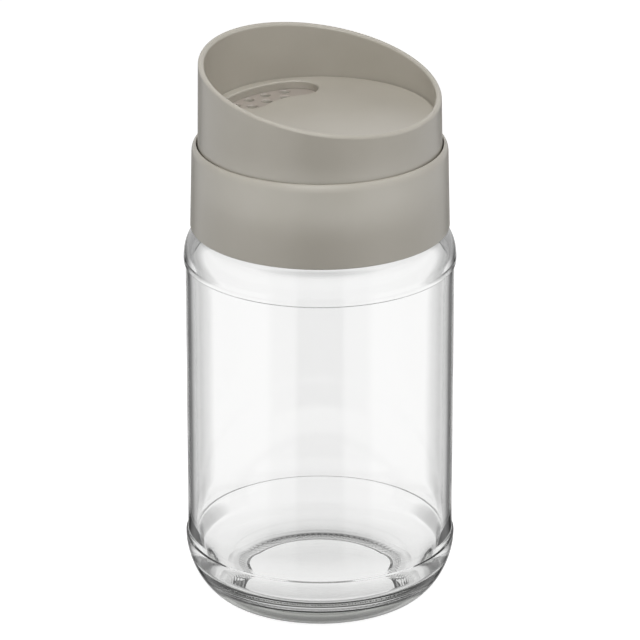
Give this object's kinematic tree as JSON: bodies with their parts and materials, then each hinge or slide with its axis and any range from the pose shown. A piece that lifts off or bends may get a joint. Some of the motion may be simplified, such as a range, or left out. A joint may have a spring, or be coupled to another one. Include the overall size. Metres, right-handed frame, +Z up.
{
  "type": "spice jar",
  "caption": "Clear glass spice jar with a screw-on plastic collar and a turning dial with a slanting rim and a curved slot over a sifter deck.",
  "frame": {"origin": "centre of the jar's standing ring, on the surface that it rests on", "axes": "+Z up along the jar's axis; the low side of the dial's rim is towards the front right, +X right and -Y front"},
  "size_m": [0.0706, 0.0706, 0.1473],
  "materials": {
    "glass": "clear, polished, faint cool grey tint in the thick base",
    "collar_plastic": "satin moulded, warm grey",
    "dial_plastic": "satin moulded, warm grey",
    "seal_rubber": "soft matte, translucent white"
  },
  "bodies": {
    "jar": {"glass_jar": "glass"},
    "seal": {"seal_ring": "seal_rubber"},
    "collar": {"screw_collar": "collar_plastic"},
    "dial": {"dial": "dial_plastic"}
  },
  "joints": [
    {"name": "cap_lift", "type": "slide", "parent": "jar", "child": "seal", "axis": [0, 0, 1], "range_m": [0, 0.014]},
    {"name": "cap_turn", "type": "hinge", "parent": "seal", "child": "collar", "pos_m": [0, 0, 0.113], "axis": [0, 0, 1], "range_deg": [0, 360]},
    {"name": "dial_turn", "type": "hinge", "parent": "collar", "child": "dial", "pos_m": [0, 0, 0.13], "axis": [0, 0, 1], "continuous": true}
  ],
  "couplings": [
    {"joint": "cap_lift", "follows": "cap_turn", "m_per_rad": 0.002228}
  ]
}
